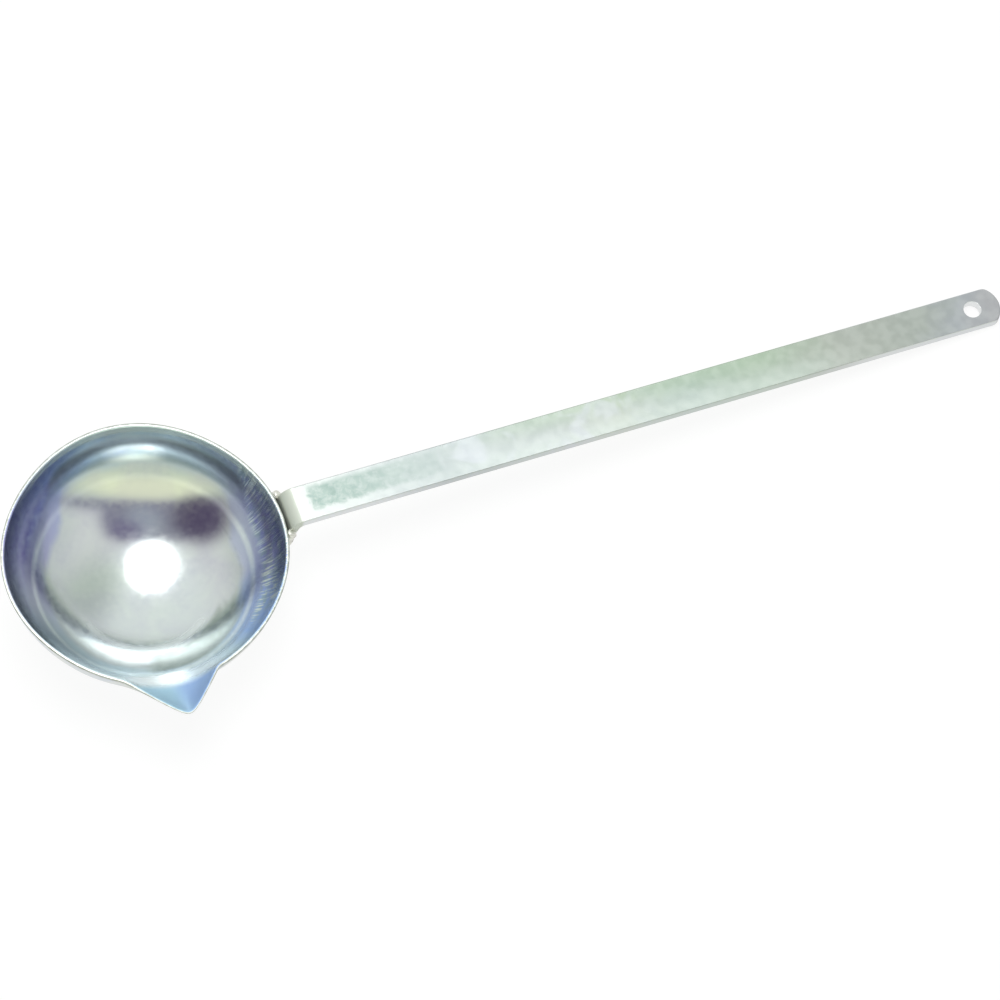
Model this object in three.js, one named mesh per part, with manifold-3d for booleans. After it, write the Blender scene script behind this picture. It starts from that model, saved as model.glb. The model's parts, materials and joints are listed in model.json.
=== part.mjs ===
// A melting ladle of zinc-plated steel: a pressed round bowl with a pouring spout, a flat bar handle
// whose end is bent down against the bowl's wall, and a weld bead along each edge of that bent end.
//
// Sizes are in millimetres. The ladle is modelled level first: the origin is the middle of the rim,
// +X runs along the handle, -Y points to the spout and +Z is up. It is then laid down as it rests on
// a bench, on its round bottom and the handle's far end, with z = 0 on the bench and the origin
// under the middle of the ladle.

import * as THREE from "three";
import { mergeVertices } from "three/addons/utils/BufferGeometryUtils.js";
import Module from "manifold-3d";

// Bowl: a spherical floor, then a tighter knee that turns up into the wall.
const RIM_DIAMETER = 90; // across the outside of the rim
const SHEET = 1.2; // thickness of the pressed sheet
const KNEE_RADIUS = 24; // outside
const FLOOR_EDGE_SLOPE = 48; // degrees from level, where the floor meets the knee
const RIM_SLOPE = 86; // degrees from level, where the wall ends at the rim
const OUT_OF_ROUND = 0.45; // how far the rim is pulled in and out by the spout and the weld
const OUT_OF_ROUND_TURN = -5; // degrees, where the rim is furthest out
const OUT_OF_ROUND_LOBES = 4; // times it is furthest out on the way round

// Spout: a V pulled out of the rim. Its flank on the handle's side is the steeper one.
const SPOUT_TURN = -94.5; // degrees from the handle, at the lip's tip
const SPOUT_REACH = 11.2; // from the round rim to the tip before it is rounded
const SPOUT_DEPTH = 17; // how far below the rim the pull starts
const SPOUT_FADE = 1.25; // 1 fades the pull evenly with depth, more makes it sag inwards
const SPOUT_NEAR_WIDTH = 11; // along the rim, from the tip to the foot of the handle-side flank
const SPOUT_FAR_WIDTH = 16; // and to the foot of the other flank
const SPOUT_TIP_BLEND = 1.9; // along the rim, how far the tip is rounded each way
const SPOUT_FOOT_BLEND = 0.9; // outwards, how far each flank's foot is rounded
const SPOUT_FLANK_END = 1.5; // times the foot's angle, where the flank is well inside the rim

// Handle: a flat bar.
const BAR_WIDTH = 12.7;
const BAR_THICKNESS = 3.2;
const BAR_EDGE_RADIUS = 0.7; // along the bar's long edges
const HANDLE_LENGTH = 250; // from the rim to the tip
const HANDLE_RISE = 2.5; // top face above the rim
const BEND_INNER_RADIUS = 1.8;
const TAB_SLOPE = 70; // degrees from level, of the end bent down the wall
const TAB_LENGTH = 12; // straight part below the bend
const TIP_BULGE = 3.2; // how far the rounded end stands out
const HANG_HOLE_DIAMETER = 5.8;
const HANG_HOLE_FROM_TIP = 9.6; // to its centre

// Weld beads: overlapping puddles down each edge of the tab.
const BEAD_RADIUS = 2.1;
const BEAD_STEP = 1.6; // from puddle to puddle
const BEAD_STAND_OFF = 0.95; // from the bar's edge to the puddles' centres
const BEAD_UNEVENNESS = 0.07; // share by which the puddles' radii differ
const BEAD_UNEVENNESS_STEP = 2.4; // radians from puddle to puddle
const WELD_GAP = 0.3; // left between the steel pieces and the weld that joins them

// Fineness of the curved surfaces.
const BOWL_SECTORS = 120;
const SECTOR_CROWDING = 0.62; // from 0, all alike, towards 1, with the sectors by the spout narrowest
const FLOOR_STEPS = 9;
const KNEE_STEPS = 7;
const ARC_STEPS = 10;
const HOLE_SIDES = 32;
const PUDDLE_SIDES = 14;
const PUDDLE_RINGS = 8;
const SAME_POINT = 1e-4; // vertices nearer than this are one

const rimRadius = RIM_DIAMETER / 2;
const floorEdge = THREE.MathUtils.degToRad(FLOOR_EDGE_SLOPE);
const rimEdge = THREE.MathUtils.degToRad(RIM_SLOPE);
const tabSlope = THREE.MathUtils.degToRad(TAB_SLOPE);

// The knee's centre, then the floor's: the two arcs share a normal where they meet.
const kneeCentre = new THREE.Vector2(
  rimRadius - KNEE_RADIUS * Math.sin(rimEdge),
  KNEE_RADIUS * Math.cos(rimEdge),
);
const floorRadius = KNEE_RADIUS + kneeCentre.x / Math.sin(floorEdge);
const floorCentreHeight = kneeCentre.y + (floorRadius - KNEE_RADIUS) * Math.cos(floorEdge);

const wasm = await Module();
wasm.setup();

function toSolid(geometry) {
  const bare = geometry.clone();
  bare.deleteAttribute("normal");
  bare.deleteAttribute("uv");
  const merged = mergeVertices(bare, SAME_POINT);
  return new wasm.Manifold(
    new wasm.Mesh({
      numProp: 3,
      vertProperties: merged.attributes.position.array,
      triVerts: new Uint32Array(merged.index.array),
    }),
  );
}

function toGeometry(solid) {
  const { vertProperties, triVerts } = solid.getMesh();
  const geometry = new THREE.BufferGeometry();
  geometry.setAttribute("position", new THREE.BufferAttribute(vertProperties, 3));
  geometry.setIndex(new THREE.BufferAttribute(triVerts, 1));
  const faceted = geometry.toNonIndexed();
  faceted.computeVertexNormals();
  return faceted;
}

// Half of the bowl's section, from the bottom on the axis up to the rim, moved inwards by inset.
function wallProfile(inset) {
  const points = [];
  for (let i = 0; i < FLOOR_STEPS; i += 1) {
    const slope = (floorEdge * i) / FLOOR_STEPS;
    const radius = floorRadius - inset;
    const x = i === 0 ? 0 : radius * Math.sin(slope);
    points.push(new THREE.Vector2(x, floorCentreHeight - radius * Math.cos(slope)));
  }
  for (let i = 0; i <= KNEE_STEPS; i += 1) {
    const slope = floorEdge + ((rimEdge - floorEdge) * i) / KNEE_STEPS;
    const radius = KNEE_RADIUS - inset;
    const x = kneeCentre.x + radius * Math.sin(slope);
    points.push(new THREE.Vector2(x, kneeCentre.y - radius * Math.cos(slope)));
  }
  points[points.length - 1].y = 0;
  return points;
}

// How far the V's straight flank stands out of the round rim, at an angle away from its tip.
// It is negative past the foot, where the flank's line runs inside the rim's circle.
function flankReach(away, footAngle) {
  const tip = rimRadius + SPOUT_REACH;
  const line = tip * Math.sin(away) + rimRadius * Math.sin(footAngle - away);
  return (tip * rimRadius * Math.sin(footAngle)) / line - rimRadius;
}

function softenedAboveZero(value, blend) {
  if (value <= -blend) return 0;
  return value >= blend ? value : (value + blend) ** 2 / (4 * blend);
}

// How far the spout and the weld pull the wall out, at an angle round the bowl and a height.
function pull(angle, height) {
  const full = 2 * Math.PI;
  const fromTip = angle - THREE.MathUtils.degToRad(SPOUT_TURN);
  const signed = THREE.MathUtils.euclideanModulo(fromTip + Math.PI, full) - Math.PI;
  const foot = (signed > 0 ? SPOUT_NEAR_WIDTH : SPOUT_FAR_WIDTH) / rimRadius;
  const blend = SPOUT_TIP_BLEND / rimRadius;
  const away = Math.hypot(signed, blend) - blend;
  const reach = away < SPOUT_FLANK_END * foot ? flankReach(away, foot) : -rimRadius;
  const fromLobe = angle - THREE.MathUtils.degToRad(OUT_OF_ROUND_TURN);
  const outOfRound = OUT_OF_ROUND * Math.cos(OUT_OF_ROUND_LOBES * fromLobe);
  const share = THREE.MathUtils.clamp(1 + height / SPOUT_DEPTH, 0, 1);
  return (softenedAboveZero(reach, SPOUT_FOOT_BLEND) + outOfRound) * share ** SPOUT_FADE;
}

// A turned shape with its axis upright, its sectors crowded together towards the spout, and pulled
// out of round as the bowl is.
function turned(points) {
  const geometry = new THREE.LatheGeometry(points, BOWL_SECTORS);
  geometry.rotateX(Math.PI / 2);
  const position = geometry.getAttribute("position");
  for (let i = 0; i < position.count; i += 1) {
    const radius = Math.hypot(position.getX(i), position.getY(i));
    const even = Math.atan2(position.getX(i), -position.getY(i));
    const fromTip = even - SECTOR_CROWDING * Math.sin(even);
    const angle = THREE.MathUtils.degToRad(SPOUT_TURN) + fromTip;
    const reach = radius > 0 ? radius + pull(angle, position.getZ(i)) : 0;
    position.setX(i, reach * Math.cos(angle));
    position.setY(i, reach * Math.sin(angle));
  }
  return geometry;
}

function bowlGeometry() {
  return turned([...wallProfile(0), ...wallProfile(SHEET).reverse()]);
}

// The bowl filled level with its rim and grown outwards, to cut the beads clear of the wall.
function grownBowl(growth) {
  const points = wallProfile(-growth);
  points.push(new THREE.Vector2(points[points.length - 1].x, BEAD_RADIUS));
  points.push(new THREE.Vector2(0, BEAD_RADIUS));
  return toSolid(turned(points));
}

// The tab lies on the plane that just clears the bowl's wall. Its normal points at the bowl, and
// across, the distance from that plane to the origin, comes from the bowl's furthest point that way.
const tabNormal = new THREE.Vector3(-Math.sin(tabSlope), 0, Math.cos(tabSlope));
const tabDown = new THREE.Vector3(-Math.cos(tabSlope), 0, -Math.sin(tabSlope));

function tabPlane(geometry) {
  const position = geometry.getAttribute("position");
  const point = new THREE.Vector3();
  let across = Infinity;
  for (let i = 0; i < position.count; i += 1) {
    across = Math.min(across, tabNormal.dot(point.fromBufferAttribute(position, i)));
  }
  return across - WELD_GAP;
}

const bowl = bowlGeometry();
const bendRadius = BEND_INNER_RADIUS + BAR_THICKNESS;
const bendCentre = new THREE.Vector3(0, 0, HANDLE_RISE - bendRadius);
bendCentre.x =
  (bendCentre.z * tabNormal.z + bendRadius - tabPlane(bowl)) / Math.sin(tabSlope);
const tabTop = bendCentre.clone().addScaledVector(tabNormal, bendRadius);
const tipX = rimRadius + HANDLE_LENGTH;

// The bar's outline from the side: along the top, round the bend, down the tab and back underneath.
function barSideShape(growth) {
  const outer = bendRadius + growth;
  const inner = BEND_INNER_RADIUS - growth;
  const faceEnd = tabTop.clone();
  faceEnd.addScaledVector(tabDown, TAB_LENGTH + growth).addScaledVector(tabNormal, growth);
  const backEnd = faceEnd.clone().addScaledVector(tabNormal, -BAR_THICKNESS - 2 * growth);
  const upright = Math.PI / 2;
  const shape = new THREE.Shape();
  shape.moveTo(tipX + growth, HANDLE_RISE - BAR_THICKNESS - growth);
  shape.lineTo(tipX + growth, HANDLE_RISE + growth);
  shape.absarc(bendCentre.x, bendCentre.z, outer, upright, upright + tabSlope, false);
  shape.lineTo(faceEnd.x, faceEnd.z);
  shape.lineTo(backEnd.x, backEnd.z);
  shape.absarc(bendCentre.x, bendCentre.z, inner, upright + tabSlope, upright, true);
  shape.closePath();
  return shape;
}

function barGeometry(growth) {
  const geometry = new THREE.ExtrudeGeometry(barSideShape(growth), {
    depth: BAR_WIDTH + 2 * growth - 2 * BAR_EDGE_RADIUS,
    curveSegments: ARC_STEPS,
    bevelThickness: BAR_EDGE_RADIUS,
    bevelSize: BAR_EDGE_RADIUS,
    bevelOffset: -BAR_EDGE_RADIUS,
    bevelSegments: 2,
  });
  geometry.rotateX(Math.PI / 2);
  geometry.translate(0, BAR_WIDTH / 2 + growth - BAR_EDGE_RADIUS, 0);
  return geometry;
}

// The handle's outline from above, rounded at the tip and with the hang hole in it.
function handlePlan() {
  const half = BAR_WIDTH / 2;
  const tipRadius = (half ** 2 + TIP_BULGE ** 2) / (2 * TIP_BULGE);
  const sweep = Math.asin(half / tipRadius);
  const shape = new THREE.Shape();
  shape.moveTo(0, half);
  shape.lineTo(0, -half);
  shape.absarc(tipX - tipRadius, 0, tipRadius, -sweep, sweep, false);
  shape.closePath();
  return shape;
}

function handleGeometry() {
  const reach = TAB_LENGTH + rimRadius;
  const plan = new THREE.ExtrudeGeometry(handlePlan(), {
    depth: 2 * reach,
    curveSegments: 2 * ARC_STEPS,
    bevelEnabled: false,
  });
  plan.translate(0, 0, -reach);
  const drill = new THREE.CylinderGeometry(
    HANG_HOLE_DIAMETER / 2,
    HANG_HOLE_DIAMETER / 2,
    2 * reach,
    HOLE_SIDES,
  );
  drill.rotateX(Math.PI / 2);
  drill.translate(tipX - HANG_HOLE_FROM_TIP, 0, 0);
  const bar = toSolid(barGeometry(0)).intersect(toSolid(plan));
  return toGeometry(bar.subtract(toSolid(drill)));
}

// One bead: puddles in a row down the corner between the tab's edge and the wall, on the side of
// the handle given by side, each a little smaller or larger than the last.
function beadGeometry(side) {
  const count = Math.round(TAB_LENGTH / BEAD_STEP);
  let bead = null;
  for (let i = 0; i < count; i += 1) {
    const size = BEAD_RADIUS * (1 + BEAD_UNEVENNESS * Math.cos(BEAD_UNEVENNESS_STEP * i + side));
    const puddle = new THREE.SphereGeometry(size, PUDDLE_SIDES, PUDDLE_RINGS);
    const centre = tabTop.clone().addScaledVector(tabDown, (i + 0.5) * BEAD_STEP);
    puddle.translate(centre.x, side * (BAR_WIDTH / 2 + BEAD_STAND_OFF), centre.z);
    const solid = toSolid(puddle);
    bead = bead ? bead.add(solid) : solid;
  }
  const clear = bead.subtract(grownBowl(WELD_GAP)).subtract(toSolid(barGeometry(WELD_GAP)));
  return toGeometry(clear);
}

// Laid on the bench, the ladle leans towards the handle until the tip's underside touches: the
// floor's sphere and that edge are then the same height below the floor's centre.
const tipDrop = floorCentreHeight - (HANDLE_RISE - BAR_THICKNESS);
const restTilt = Math.asin(floorRadius / Math.hypot(tipX, tipDrop)) - Math.atan2(tipDrop, tipX);

const plated = { metalness: 1, roughness: 0.28 };
const bowlSteel = new THREE.MeshStandardMaterial({ ...plated, color: "#a9b6c0" });
const barSteel = new THREE.MeshStandardMaterial({ ...plated, color: "#c3ccc8", roughness: 0.42 });
const weldSteel = new THREE.MeshStandardMaterial({ ...plated, color: "#cfd0c6", roughness: 0.5 });

function addPiece(parent, name, geometry, material) {
  const mesh = new THREE.Mesh(geometry, material);
  mesh.name = name;
  parent.add(mesh);
}

const ladle = new THREE.Group();
addPiece(ladle, "bowl", bowl, bowlSteel);
addPiece(ladle, "handle", handleGeometry(), barSteel);
addPiece(ladle, "weld_bead_spout_side", beadGeometry(-1), weldSteel.clone());
addPiece(ladle, "weld_bead_far_side", beadGeometry(1), weldSteel.clone());
ladle.rotation.y = restTilt;

const group = new THREE.Group();
group.add(ladle);
const box = new THREE.Box3().setFromObject(group, true);
const middle = box.getCenter(new THREE.Vector3());
ladle.position.set(-middle.x, -middle.y, -box.min.z);

export default group;
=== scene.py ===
# %% [markdown]
# # A zinc-plated melting ladle
#
# The ladle is one pressed steel bowl with a pouring spout, one flat bar handle bent down against the
# bowl's wall, and a weld bead down each edge of the bent end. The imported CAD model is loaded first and
# stays where it is. Each piece is then rebuilt as a smooth surface in the same place, because the CAD
# model is made of flat facets and bright metal shows every one of them.

# %% Load the frame
import json
from functools import partial, reduce
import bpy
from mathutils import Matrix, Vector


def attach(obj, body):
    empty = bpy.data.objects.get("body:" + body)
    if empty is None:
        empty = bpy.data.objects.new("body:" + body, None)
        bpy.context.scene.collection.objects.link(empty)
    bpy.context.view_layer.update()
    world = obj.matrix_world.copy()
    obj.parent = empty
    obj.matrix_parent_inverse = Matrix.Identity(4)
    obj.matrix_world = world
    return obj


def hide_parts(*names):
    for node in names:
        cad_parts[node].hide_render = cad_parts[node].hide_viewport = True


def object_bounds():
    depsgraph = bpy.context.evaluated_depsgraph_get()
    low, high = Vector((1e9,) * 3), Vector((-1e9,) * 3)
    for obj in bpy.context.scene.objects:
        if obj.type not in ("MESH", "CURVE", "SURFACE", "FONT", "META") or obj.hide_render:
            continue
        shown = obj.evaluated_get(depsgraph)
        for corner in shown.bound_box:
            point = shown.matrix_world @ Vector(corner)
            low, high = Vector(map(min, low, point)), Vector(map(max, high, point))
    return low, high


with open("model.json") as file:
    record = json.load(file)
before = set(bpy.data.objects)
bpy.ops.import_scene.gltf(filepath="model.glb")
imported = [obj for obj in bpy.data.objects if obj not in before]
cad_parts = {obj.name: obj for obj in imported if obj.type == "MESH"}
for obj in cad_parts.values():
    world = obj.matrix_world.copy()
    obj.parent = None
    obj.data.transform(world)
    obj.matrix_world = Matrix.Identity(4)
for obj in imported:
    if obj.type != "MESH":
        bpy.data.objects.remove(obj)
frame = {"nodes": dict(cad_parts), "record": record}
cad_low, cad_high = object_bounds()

from types import SimpleNamespace

import bmesh
import bpy
import numpy as np
from mathutils import Matrix, Vector

MM = 0.001
print("CAD box in mm:", [round(v / MM, 2) for v in (*cad_low, *cad_high)])

# %% [markdown]
# ## Where the level ladle lies
#
# The ladle rests on its round bottom and the far end of its handle, so its rim leans towards the
# handle. Its shapes are worked out with the rim level and turned into place at the end. The lean is
# read from the direction of the handle's underside in the record, and the bowl's middle from the CAD
# bowl: its deepest vertex is on its axis, and its rim is level.

# %% The level ladle's place
underside = next(m for m in frame["record"]["mounts"] if m["name"] == "handle_underside")
down = np.array(underside["axis"], float)
up = -down / np.linalg.norm(down)
along = np.array([up[2], 0.0, -up[0]])
LEVEL_AXES = np.stack([along, [0.0, 1.0, 0.0], up])


def cad_points(name):
    """The vertices of a CAD node as an array, in metres in the row frame."""
    mesh = frame["nodes"][name].data
    points = np.empty(len(mesh.vertices) * 3)
    mesh.vertices.foreach_get("co", points)
    return points.reshape(-1, 3)


levelled = cad_points("bowl") @ LEVEL_AXES.T
deepest = levelled[levelled[:, 2].argmin()]
LADLE_ORIGIN = np.array([deepest[0], deepest[1], levelled[:, 2].max()]) @ LEVEL_AXES
underside_level = (np.array(underside["pos_m"]) - LADLE_ORIGIN) @ LEVEL_AXES.T / MM
handle_level = (cad_points("handle") - LADLE_ORIGIN) @ LEVEL_AXES.T / MM
print("lean in degrees:", round(float(np.degrees(np.arcsin(up[0]))), 3))
print("underside in the level ladle:", underside_level.round(3))


def in_place(points):
    """Level-ladle millimetres to metres in the row frame: turned by the lean, then moved."""
    return (np.asarray(points) * MM) @ LEVEL_AXES + LADLE_ORIGIN


# %% [markdown]
# ## Putting a surface into Blender
#
# Every piece below is a grid of points worked out with numpy, which one helper makes a mesh. A grid can
# close on itself in either direction, and a row whose points coincide is a pole, merged to one vertex.

# %% Mesh helpers
def grid_faces(rows, columns, wrap_rows=False, wrap_columns=False):
    """Quads of a grid: each joins a point to the next in its row, and both to the row above."""
    index = np.arange(rows * columns).reshape(rows, columns)
    if wrap_rows:
        index = np.vstack([index, index[:1]])
    if wrap_columns:
        index = np.hstack([index, index[:, :1]])
    return np.stack(
        [index[:-1, :-1], index[:-1, 1:], index[1:, 1:], index[1:, :-1]], axis=-1
    ).reshape(-1, 4)


def add_piece(name, points, faces, merge=0.0):
    """A mesh object at the origin, with its points in the row frame and its faces smooth."""
    mesh = bpy.data.meshes.new(name)
    mesh.from_pydata(points.tolist(), [], faces.tolist())
    piece = bpy.data.objects.new(name, mesh)
    bpy.context.scene.collection.objects.link(piece)
    if merge:
        editable = bmesh.new()
        editable.from_mesh(mesh)
        bmesh.ops.remove_doubles(editable, verts=editable.verts, dist=merge)
        editable.to_mesh(mesh)
        editable.free()
    mesh.polygons.foreach_set("use_smooth", np.ones(len(mesh.polygons), bool))
    mesh.update()
    print(name, "has", len(mesh.vertices), "vertices and", len(mesh.polygons), "faces")
    return piece


# %% [markdown]
# ## The bowl's shape
#
# A bowl like this is pressed from a disc of sheet steel in a die. Its floor is part of a sphere, and a
# tighter arc, the knee, turns that up into an almost upright wall. The section is therefore two arcs
# that share a normal where they meet, swept once round the axis. The inside follows the outside one
# sheet thickness in, and the cut edge at the rim is softened by a small round.

# %% Bowl sizes, in millimetres and degrees
RIM_RADIUS = 45.0
SHEET = 1.2
KNEE_RADIUS = 24.0
KNEE_START = np.radians(48.0)
RIM_SLOPE = np.radians(86.0)
EDGE_ROUND = 0.35
SKIN = 0.04  # the smooth surface keeps this far inside the faceted one

knee_x = RIM_RADIUS - KNEE_RADIUS * np.sin(RIM_SLOPE)
knee_z = KNEE_RADIUS * np.cos(RIM_SLOPE)
FLOOR_RADIUS = KNEE_RADIUS + knee_x / np.sin(KNEE_START)
floor_z = knee_z + (FLOOR_RADIUS - KNEE_RADIUS) * np.cos(KNEE_START)
print("floor sphere radius:", round(FLOOR_RADIUS, 2), "depth:", round(FLOOR_RADIUS - floor_z, 2))


def wall_section(inset, floor_steps=46, knee_steps=44):
    """Radius and height from the bottom of the axis to the rim.

    Along the floor the point is the sphere's centre plus its radius turned by the slope, and along
    the knee the same with the knee's centre and radius. The inset shortens both radii.
    """
    floor = np.linspace(0.0, KNEE_START, floor_steps, endpoint=False)
    knee = np.linspace(KNEE_START, RIM_SLOPE, knee_steps)
    radius = np.concatenate(
        [(FLOOR_RADIUS - inset) * np.sin(floor), knee_x + (KNEE_RADIUS - inset) * np.sin(knee)]
    )
    height = np.concatenate(
        [floor_z - (FLOOR_RADIUS - inset) * np.cos(floor), knee_z - (KNEE_RADIUS - inset) * np.cos(knee)]
    )
    return np.stack([radius, np.minimum(height, -EDGE_ROUND)], axis=1)


# %% [markdown]
# ## The spout
#
# The spout is pulled out of the rim with a former, so the sheet only moves outwards, most at the rim
# and less with depth. Seen from above it is a V with a rounded tip and two nearly straight flanks.
# Each flank is the straight line from the tip to its foot on the round rim, in polar form.

# %% Spout sizes and the pull
SPOUT_TURN = np.radians(-94.5)
SPOUT_REACH = 11.2
SPOUT_DEPTH = 17.0
SPOUT_FADE = 1.25
NEAR_WIDTH, FAR_WIDTH = 11.0, 16.0
TIP_BLEND, FOOT_BLEND = 1.9, 0.9
OUT_OF_ROUND, ROUND_TURN, ROUND_LOBES = 0.45, np.radians(-5.0), 4


def pull(angle, height):
    """How far the wall stands out of the round, in millimetres.

    At the rim it is the flank's line less the rim's radius, never below nothing, with a parabola
    blending it in at the foot, plus a cosine for the rim's slight squareness. Below the rim it fades
    as a power of the share of the spout's depth that is left.
    """
    signed = (angle - SPOUT_TURN + np.pi) % (2 * np.pi) - np.pi
    foot = np.where(signed > 0, NEAR_WIDTH, FAR_WIDTH) / RIM_RADIUS
    blend = TIP_BLEND / RIM_RADIUS
    away = np.hypot(signed, blend) - blend
    tip = RIM_RADIUS + SPOUT_REACH
    inside = away < 1.5 * foot
    near = np.where(inside, away, 0.0)
    line = tip * np.sin(near) + RIM_RADIUS * np.sin(foot - near)
    reach = np.where(inside, tip * RIM_RADIUS * np.sin(foot) / line - RIM_RADIUS, -RIM_RADIUS)
    eased = np.clip(reach + FOOT_BLEND, 0.0, 2 * FOOT_BLEND) ** 2 / (4 * FOOT_BLEND)
    reach = np.where(reach > FOOT_BLEND, reach, eased)
    squareness = OUT_OF_ROUND * np.cos(ROUND_LOBES * (angle - ROUND_TURN))
    share = np.clip(1 + height / SPOUT_DEPTH, 0.0, 1.0)
    return (reach + squareness) * share**SPOUT_FADE


# %% [markdown]
# ## The bowl's surface
#
# The two parameters are the place along the section, up the inside, over the rim's round and down the
# outside, and the turn round the axis. The turns are closer together at the spout, where the surface
# curves most. Pressed sheet is never quite true, so the surface has a few hundredths of a millimetre
# of slow waviness, enough to make its reflections wander.

# %% Build the bowl
TURNS = 420
CROWDING = 0.6
WAVE_HEIGHT = 0.035


def bowl_surface():
    """Points on a grid of section by turn, in level-ladle millimetres.

    Each is the section's radius plus the pull at that turn and height, and the waviness is a sum of
    three products of a cosine of the turn and a cosine of the distance along the section.
    """
    inner = wall_section(SHEET)
    outer = wall_section(SKIN)
    curl = np.linspace(0.0, np.pi / 2, 6)
    inner_edge, outer_edge = (
        np.stack([start + way * (1 - np.cos(curl)), -EDGE_ROUND * (1 - np.sin(curl))], axis=1)
        for start, way in ((inner[-1, 0], EDGE_ROUND), (outer[-1, 0], -EDGE_ROUND))
    )
    section = np.vstack([inner[:-1], inner_edge, outer_edge[::-1], outer[:-1][::-1]])
    even = np.linspace(-np.pi, np.pi, TURNS, endpoint=False)
    turn = SPOUT_TURN + even - CROWDING * np.sin(even)
    radius, angle = np.meshgrid(section[:, 0], turn, indexing="ij")
    height = np.repeat(section[:, 1:], TURNS, axis=1)
    wave = (
        np.cos(3 * angle + 0.4) * np.cos(height / 3.1)
        + np.cos(5 * angle + 2.0) * np.cos(height / 4.3 + 1.0)
        + 0.5 * np.cos(11 * angle + 0.9) * np.cos(height / 2.2 + 2.0)
    )
    fade = np.clip(radius / RIM_RADIUS, 0.0, 1.0) ** 2 * np.clip(-height / 3.0, 0.0, 1.0)
    out = np.where(radius > 0, radius + pull(angle, height) - WAVE_HEIGHT * (1 + wave / 2.5) * fade, 0.0)
    return np.stack([out * np.cos(angle), out * np.sin(angle), height], axis=-1)


bowl_grid = bowl_surface()
bowl_faces = grid_faces(*bowl_grid.shape[:2], wrap_columns=True)
bowl = add_piece("bowl_pressing", in_place(bowl_grid.reshape(-1, 3)), bowl_faces, merge=1e-7)

# %% [markdown]
# ## The handle's outline
#
# The handle is a length of flat bar, rounded off at the end, with a hole punched near it. The hole makes
# the top face hard to lay out as one grid, so it is two: plain rows across the bar, and a ring round
# the hole out to the bar's edges, whose spokes end exactly on the last plain row.

# %% Handle sizes, in millimetres
BAR_WIDTH = 12.7 - 2 * SKIN
BAR_THICKNESS = 3.2
BAR_TOP = underside_level[2] + BAR_THICKNESS
TIP_X = handle_level[:, 0].max() - SKIN
TIP_BULGE = 3.2
TIP_CORNER = 3.0
HOLE_RADIUS = 2.9
HOLE_FROM_TIP = 9.6
RING_LENGTH = 9.0  # from the hole's middle back to the last plain row
HOLE_X = TIP_X - HOLE_FROM_TIP
RING_START = HOLE_X - RING_LENGTH
BEND_OUTER = 5.0
TAB_SLOPE = np.radians(70.0)
TAB_LENGTH = 12.0
TAB_REACH = 8.0  # CAD vertices this near the bent end give the tab's place
COLUMNS = 14  # quads across the bar
print("hang hole's middle, mm from the bowl's axis:", round(float(HOLE_X), 2))


def tip_outline(samples=40):
    """The bar's edge past the ring's start, as points from one side, round the tip, to the other.

    The tip is a circle through the bar's two corners, and each corner is eased by a smaller circle
    that touches both it and the bar's side.
    """
    half = BAR_WIDTH / 2
    big = (half**2 + TIP_BULGE**2) / (2 * TIP_BULGE)
    middle = TIP_X - big
    corner = np.array([np.sqrt((big - TIP_CORNER) ** 2 - (half - TIP_CORNER) ** 2), half - TIP_CORNER])
    meet = np.arctan2(corner[1], corner[0])
    side = np.stack([np.linspace(RING_START, middle + corner[0], 14), np.full(14, half)], axis=1)
    eased = np.linspace(np.pi / 2, meet, samples // 3)[1:]
    eased = np.stack(
        [middle + corner[0] + TIP_CORNER * np.cos(eased), corner[1] + TIP_CORNER * np.sin(eased)], axis=1
    )
    round_end = np.linspace(meet, 0.0, samples // 2)[1:]
    round_end = np.stack([middle + big * np.cos(round_end), big * np.sin(round_end)], axis=1)
    upper = np.vstack([side, eased, round_end])
    lower = upper[:-1][::-1] * np.array([1.0, -1.0])
    return np.vstack([upper, lower])


# %% [markdown]
# ## The handle's surface
#
# The face is first laid out flat, then carried along the bar's line: straight, round the bend and down
# the tab. The underside is the same sheet of points moved in by the bar's thickness, and walls join
# the two round the outline and in the hole.

# %% Build the handle
tab_sin, tab_cos = np.sin(TAB_SLOPE), np.cos(TAB_SLOPE)
bend_line = handle_level[:, 0].min()
tab_points = handle_level[handle_level[:, 0] < bend_line + TAB_REACH]
tab_across = (tab_points @ np.array([-tab_sin, 0.0, tab_cos])).max()
bend_z = BAR_TOP - BEND_OUTER
BEND_X = (bend_z * tab_cos + BEND_OUTER - tab_across) / tab_sin
print("bar top:", round(float(BAR_TOP), 3), "bend centre x:", round(float(BEND_X), 3))


def carry(flat, depth):
    """Flat bar coordinates to the bent bar, at a depth below its top face.

    Distance along the bar counts down from the tip. Up to the bend the point keeps its place. In the
    bend it turns about the bend's centre by the distance over the outer radius, and past it the point
    runs straight down the tab.
    """
    past = np.maximum(BEND_X - flat[:, 0], 0.0)
    turned = np.minimum(past / BEND_OUTER, TAB_SLOPE)
    rest = past - turned * BEND_OUTER
    radius = BEND_OUTER - depth
    x = np.where(past > 0, BEND_X - radius * np.sin(turned) - rest * np.cos(turned), flat[:, 0])
    z = np.where(past > 0, bend_z + radius * np.cos(turned) - rest * np.sin(turned), BAR_TOP - depth)
    return np.stack([x, flat[:, 1], z], axis=1)


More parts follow.
